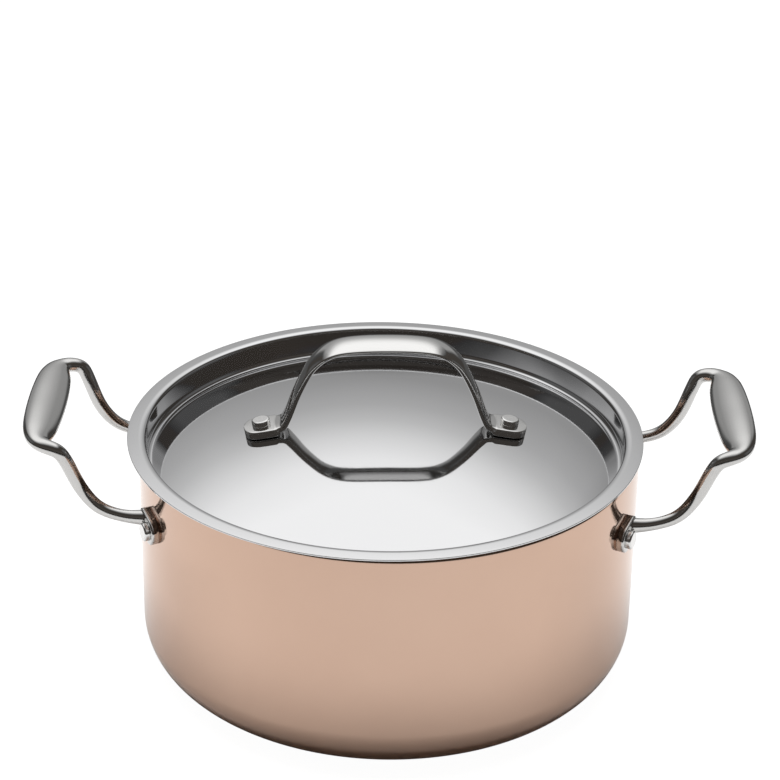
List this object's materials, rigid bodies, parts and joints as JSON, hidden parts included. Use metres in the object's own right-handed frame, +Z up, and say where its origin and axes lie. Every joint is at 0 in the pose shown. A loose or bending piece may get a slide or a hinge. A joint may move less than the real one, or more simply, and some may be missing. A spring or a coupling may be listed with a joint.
{
  "type": "cooking pot",
  "caption": "Round straight-sided copper casserole, lined with steel, with bent steel side handles and a domed steel lift-off lid with a strap handle.",
  "frame": {"origin": "on the table, under the middle of the pot's base", "axes": "+Z up, out of the pot; +X to the right-hand side handle; +Y to the rear, away from the camera of the picture"},
  "size_m": [0.3522, 0.252, 0.1694],
  "materials": {
    "copper": "polished bare copper",
    "core_aluminium": "bare, seen only as a line at the rim",
    "liner_steel": "satin stainless steel",
    "lid_steel": "mirror-polished stainless steel",
    "handle_steel": "tumble-polished stainless steel",
    "rivet_steel": "polished stainless steel"
  },
  "bodies": {
    "pot": {"copper_shell": "copper", "aluminium_core": "core_aluminium", "steel_liner": "liner_steel", "left_handle": "handle_steel", "right_handle": "handle_steel", "left_front_rivet": "rivet_steel", "left_rear_rivet": "rivet_steel", "right_front_rivet": "rivet_steel", "right_rear_rivet": "rivet_steel"},
    "lid": {"lid_shell": "lid_steel", "lid_handle": "handle_steel", "lid_left_rivet": "rivet_steel", "lid_right_rivet": "rivet_steel"}
  },
  "joints": [
    {"name": "lid_lift", "type": "slide", "parent": "pot", "child": "lid", "axis": [0, 0, 1], "range_m": [0, 0.2]}
  ]
}
